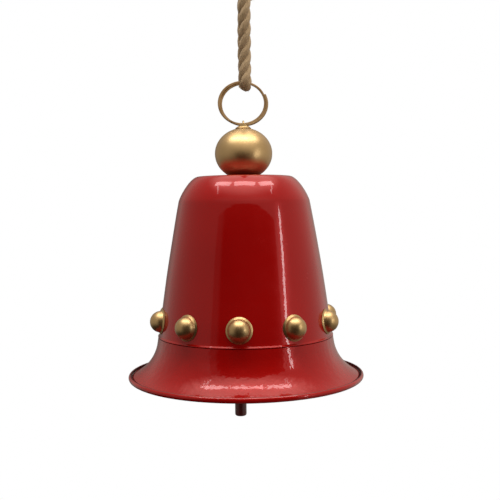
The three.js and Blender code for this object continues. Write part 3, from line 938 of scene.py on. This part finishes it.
def hex_nut(corner, hole, low, high, columns=72):
    """A chamfered hexagon nut about +Z. corner is the radius to its corners."""
    angle = np.arange(columns) * 2 * math.pi / columns
    flat = corner * math.cos(math.pi / 6)
    hexagon = flat / np.cos((angle % (math.pi / 3)) - math.pi / 6)
    chamfer = np.minimum(hexagon, flat * 1.02)
    slope, ease = 0.45, 0.25  # heights of the chamfers outside and in the hole
    mouth, wall = np.full(columns, hole + ease), np.full(columns, hole)
    levels = [(mouth, low), (chamfer, low), (hexagon, low + slope), (hexagon, high - slope)]
    levels += [(chamfer, high), (mouth, high), (wall, high - ease), (wall, low + ease)]
    c, s = np.cos(angle), np.sin(angle)
    rings = [np.stack([r * c, r * s, np.full(columns, z)], 1) for r, z in levels]
    return np.concatenate(rings), grid_faces(len(levels), columns, True)


NUT_CORNER = 4.1
NUT_THICK = 3.2
nut_top = washer_foot - GAP
nut_points, nut_faces = hex_nut(NUT_CORNER, BOLT_RADIUS + GAP, nut_top - NUT_THICK, nut_top)
crown_nut = mesh_object("crown_hex_nut", above_rim(nut_points), nut_faces)
finish_piece(crown_nut, STEEL, "bell", ["crown_nut"], 20)

# ---------- split ring ----------
# Two turns of flat wire, one behind the other and the front one sprung a little wider. The wire
# crosses from one to the other at the upper right.
swept = np.linspace(0, RING_SWEEP, 330)
ring_angle = np.radians(RING_START - swept)
crossing = smoothstep(290, 355, swept) * 2 - 1
ring_side = RING_SPREAD * np.abs(np.cos(ring_angle + math.radians(30))) * -crossing
turn_step = (RING_WIRE[1] + RING_WIRE[2]) / 2
ring_line = np.stack(
    [
        (RING_HALF[0] + ring_side) * np.cos(ring_angle),
        crossing * turn_step,
        RING_HEIGHT - HANG_HEIGHT + (RING_HALF[1] + ring_side) * np.sin(ring_angle),
    ],
    1,
)
outward = np.stack([np.cos(ring_angle), 0 * ring_angle, np.sin(ring_angle)], 1)
sideways = np.tile([0.0, 1.0, 0.0], (len(ring_line), 1))


def rounded_box(width, height, corner, steps=3):
    """Outline of a rectangle with rounded corners."""
    points = []
    for k, (sx, sy) in enumerate(((1, 1), (-1, 1), (-1, -1), (1, -1))):
        centre = (sx * (width / 2 - corner), sy * (height / 2 - corner))
        points += arc(centre, corner, 90 * k, 90 * k + 90, steps)
    return np.array(points)


ring_section = rounded_box(RING_WIRE[0], RING_WIRE[1], 0.2)
ring_scale = np.ones(len(ring_line))
ring_scale[[0, -1]] = 0.82
ring_sections = ring_section[None, :, :] * ring_scale[:, None, None]
ring = mesh_object("key_ring", *sweep(ring_line, outward, sideways, ring_sections))
finish_piece(ring, BRASS, "ring", ["split_ring"], 30)

# ---------- clapper: bent yoke, pin and rod ----------
CHEEK_INNER = CLAPPER_RADIUS + 0.5
CHEEK_THICK = 0.9
CHEEK_FOOT = 85.15
STRAP_HALF_WIDTH = 3.0
STRAP_BEND = 1.0
YOKE_TOP = BOLT_NECK_END + GAP + 1.0
PIN_RADIUS = 1.0
PIN_HOLE = PIN_RADIUS + GAP
cheek_middle = CHEEK_INNER + CHEEK_THICK / 2
bend_height = YOKE_TOP - CHEEK_THICK / 2 - STRAP_BEND
cheek = [(cheek_middle, z) for z in np.linspace(CHEEK_FOOT, bend_height, 26)]
half_strap = cheek + arc((cheek_middle - STRAP_BEND, bend_height), STRAP_BEND, 0, 90, 7)[1:]
strap = half_strap + [(-y, z) for y, z in reversed(half_strap)]
strap_line = np.array([(0, y, z) for y, z in strap])


def strap_edges(z):
    """Left and right edges of the yoke's strap at a height: rounded below the pin, and
    reaching over to the bolt above it."""
    left, right = CLAPPER_OFFSET - STRAP_HALF_WIDTH, CLAPPER_OFFSET + STRAP_HALF_WIDTH
    lean_start = PIN_HEIGHT + 2
    if z > lean_start:
        t = (z - lean_start) / (YOKE_TOP - lean_start)
        return left + 3 * t, right + 3.4 * t
    half = math.sqrt(max(STRAP_HALF_WIDTH**2 - min(z - PIN_HEIGHT, 0) ** 2, 0.05))
    return CLAPPER_OFFSET - half, CLAPPER_OFFSET + half


strap_tangent = np.gradient(strap_line, axis=0)
strap_tangent /= np.linalg.norm(strap_tangent, axis=1)[:, None]
strap_across = np.tile([1.0, 0, 0], (len(strap_line), 1))
strap_normal = np.cross(strap_tangent, strap_across)
strap_sections = []
for _, _, z in strap_line:
    left, right = strap_edges(z)
    outline = rounded_box(right - left, CHEEK_THICK, 0.22)
    outline[:, 0] += (left + right) / 2
    strap_sections.append(outline)
yoke_points, yoke_faces = sweep(strap_line, strap_across, strap_normal, np.array(strap_sections))
yoke = mesh_object("clapper_stirrup", above_rim(yoke_points), yoke_faces)
pin_low, pin_high = (CLAPPER_OFFSET, -9, PIN_HEIGHT), (CLAPPER_OFFSET, 9, PIN_HEIGHT)
pin_bore = rod_between(pin_low, pin_high, PIN_HOLE)
bolt_bore = rod_between((0, 0, 92), (0, 0, 104), BOLT_RADIUS + GAP)
bore(yoke, [(above_rim(p), f) for p, f in (pin_bore, bolt_bore)])
finish_piece(yoke, STEEL, "yoke", ["clapper_yoke"], 40)

# One end of the pin, from its bar out over the peened head. The other end mirrors it.
pin_end = CHEEK_INNER + CHEEK_THICK + GAP
pin_head = [(PIN_RADIUS, 0), (1.5, 0), (1.7, 0.15), (1.62, 0.55), (1.2, 0.78), (0, 0.8)]
pin_head = [(r, pin_end + z) for r, z in pin_head]
pin_profile = [(r, -z) for r, z in reversed(pin_head)] + pin_head
pin_points, pin_faces = lathe(pin_profile, 32)
pin_points = pin_points[:, [0, 2, 1]] * np.array([1, -1, 1]) + np.array([CLAPPER_OFFSET, 0, PIN_HEIGHT])
pin = mesh_object("clapper_axle", above_rim(pin_points), pin_faces)
finish_piece(pin, STEEL, "yoke", ["clapper_pin"])

TIP_ROUND = 1.1
rod_profile = (
    [(0, CLAPPER_TIP)]
    + arc((CLAPPER_RADIUS - TIP_ROUND, CLAPPER_TIP + TIP_ROUND), TIP_ROUND, -90, 0, 7)
    + [(CLAPPER_RADIUS, z) for z in (-15, 0, 20, 40, 60, 75, 82)]
    + arc((CLAPPER_RADIUS - TIP_ROUND, CLAPPER_TOP - TIP_ROUND), TIP_ROUND, 0, 90, 7)
    + [(0, CLAPPER_TOP)]
)
rod_points, rod_faces = lathe(rod_profile, 56)
rod_points += np.array([CLAPPER_OFFSET, 0, 0])
rod = mesh_object("clapper_bar", above_rim(rod_points), rod_faces)
bore(rod, [(above_rim(pin_bore[0]), pin_bore[1])])
finish_piece(rod, DARK_ENAMEL_AND_SHADE, "clapper", ["clapper_rod"])


# ---------- studio, in metres ----------
def stage_face(name, corners, finish, unseen_by):
    """One flat face with a finish, hidden from some kinds of ray."""
    mesh = bpy.data.meshes.new(name)
    mesh.from_pydata(corners, [], [(0, 1, 2, 3)])
    face = bpy.data.objects.new(name, mesh)
    bpy.context.scene.collection.objects.link(face)
    face.data.materials.append(finish.material)
    for way in unseen_by:
        setattr(face, f"visible_{way}", False)
    return face


FLOOR_HEIGHT = -0.62
FLOOR_REACH = 6.0
floor_corners = [
    (x * FLOOR_REACH, y * FLOOR_REACH, FLOOR_HEIGHT) for x, y in ((-1, -1), (1, -1), (1, 1), (-1, 1))
]
pale = Finish("pale_floor", Base_Color=(0, 0, 0, 1), Roughness=1.0, Specular_IOR_Level=0.0)
pale.shader.inputs["Emission Color"].default_value = (1, 1, 1, 1)
pale.shader.inputs["Emission Strength"].default_value = 1.0
indirect = ("diffuse", "transmission", "volume_scatter", "shadow")
floor = stage_face("floor", floor_corners, pale, (*indirect, "glossy"))


def strip_light(name, start, end, width, radiance, target):
    """A bright strip between two points that faces a target, with its brightness per area."""
    start, end = Vector(start), Vector(end)
    along = (end - start).normalized()
    back = (start + end) / 2 - Vector(target)
    back = (back - along * back.dot(along)).normalized()
    data = bpy.data.lights.new(name, "AREA")
    data.shape = "RECTANGLE"
    data.size, data.size_y = (end - start).length, width
    data.energy = radiance * math.pi * data.size * data.size_y
    lamp = bpy.data.objects.new(name, data)
    bpy.context.scene.collection.objects.link(lamp)
    turn = Matrix((along, back.cross(along), back)).transposed().to_4x4()
    lamp.matrix_world = Matrix.Translation((start + end) / 2) @ turn
    return lamp


# Three panels in an arc over the front, two thin ones that run forward from their ends, and
# an upright slit of light on the right. The panels face a point in the bell.
UNDER = (0, -0.03, -0.17)
LAMP = 0.17  # height of the panels
strip_light("ceiling_middle", (-0.070, -0.100, LAMP), (0.084, -0.100, LAMP), 0.060, 9, UNDER)
strip_light("ceiling_left", (-0.098, -0.092, LAMP), (-0.206, -0.012, LAMP), 0.056, 9, UNDER)
strip_light("ceiling_right", (0.112, -0.090, LAMP), (0.208, -0.006, LAMP), 0.056, 9, UNDER)
strip_light("leg_left", (-0.200, -0.052, LAMP), (-0.252, -0.160, LAMP), 0.012, 6, UNDER)
strip_light("leg_right", (0.210, -0.052, LAMP), (0.264, -0.160, LAMP), 0.012, 6, UNDER)
strip_light("slit_right", (0.244, -0.153, -0.062), (0.226, -0.188, -0.205), 0.015, 14, (0, 0, -0.15))

# A dark card just in front, seen only in reflections, stands for the tent's open side. Its
# left edge fades out.
CARD_FRONT = -0.124
CARD_FOOT, CARD_TOP = -0.36, -0.104
CARD_FADE = (-0.078, -0.066)
BROWN = (0.05, 0.024, 0.010, 1)
card_outline = [(-0.100, CARD_FOOT), (0.088, CARD_FOOT), (0.126, CARD_TOP), (-0.100, CARD_TOP)]
brown = Finish("dark_card", Base_Color=BROWN, Roughness=1.0, Specular_IOR_Level=0.0)
across_card = brown.nodes.new("ShaderNodeSeparateXYZ")
brown.links.new(brown.place, across_card.inputs[0])
brown.plug(brown.between(across_card.outputs[0], 0.55, 1.0, CARD_FADE), "Alpha")
card_corners = [(x, CARD_FRONT, z) for x, z in card_outline]
card = stage_face("dark_card", card_corners, brown, (*indirect, "camera"))


class Sky:
    """World nodes: white to the camera, and the inside of a light tent to everything else."""

    def __init__(self):
        world = bpy.data.worlds.new("light_tent")
        bpy.context.scene.world = world
        world.use_nodes = True
        self.nodes, self.links = world.node_tree.nodes, world.node_tree.links
        self.nodes.clear()

    def value(self, socket, source):
        if isinstance(source, (int, float)):
            socket.default_value = source
        else:
            self.links.new(source, socket)

    def math(self, operation, a, b=0.0):
        node = self.nodes.new("ShaderNodeMath")
        node.operation = operation
        self.value(node.inputs[0], a)
        self.value(node.inputs[1], b)
        return node.outputs[0]

    def step(self, value, low, high, start=0.0, end=1.0):
        node = self.nodes.new("ShaderNodeMapRange")
        node.interpolation_type = "SMOOTHSTEP"
        self.value(node.inputs["Value"], value)
        sockets = ("From Min", "From Max", "To Min", "To Max")
        for socket, number in zip(sockets, (low, high, start, end)):
            node.inputs[socket].default_value = number
        return node.outputs["Result"]


# The tent's brightness: its walls, less behind the bell, more from the ceiling and a little more
# from the ceiling's front, and less from the floor.
LEFT_WALL, RIGHT_WALL = 0.46, 0.64
BEHIND = -0.30
CEILING = 2.1
CEILING_FRONT = 0.3
FLOOR = -0.45
WARM_WHITE = (1.0, 0.91, 0.81, 1)

sky = Sky()
direction = sky.nodes.new("ShaderNodeTexCoord").outputs["Generated"]
split = sky.nodes.new("ShaderNodeSeparateXYZ")
sky.links.new(direction, split.inputs[0])
x, y, z = split.outputs
strength = sky.math(
    "ADD", sky.step(x, -0.3, 0.3, LEFT_WALL, RIGHT_WALL), sky.step(y, 0.70, 0.95, 0.0, BEHIND)
)
strength = sky.math("ADD", strength, sky.step(z, 0.74, 0.94, 0.0, CEILING))
front = sky.math("MULTIPLY", sky.step(y, -0.7, -0.3, CEILING_FRONT, 0.0), sky.step(z, 0.35, 0.55))
strength = sky.math("ADD", strength, front)
strength = sky.math("ADD", strength, sky.step(z, -0.6, -0.1, FLOOR, 0.0))
tent = sky.nodes.new("ShaderNodeBackground")
tent.inputs["Color"].default_value = WARM_WHITE
sky.links.new(strength, tent.inputs["Strength"])
plain = sky.nodes.new("ShaderNodeBackground")
plain.inputs["Color"].default_value = (1, 1, 1, 1)
plain.inputs["Strength"].default_value = 1.0
seen = sky.nodes.new("ShaderNodeLightPath").outputs["Is Camera Ray"]
either = sky.nodes.new("ShaderNodeMixShader")
sky.links.new(seen, either.inputs["Fac"])
sky.links.new(tent.outputs[0], either.inputs[1])
sky.links.new(plain.outputs[0], either.inputs[2])
output = sky.nodes.new("ShaderNodeOutputWorld")
sky.links.new(either.outputs[0], output.inputs["Surface"])
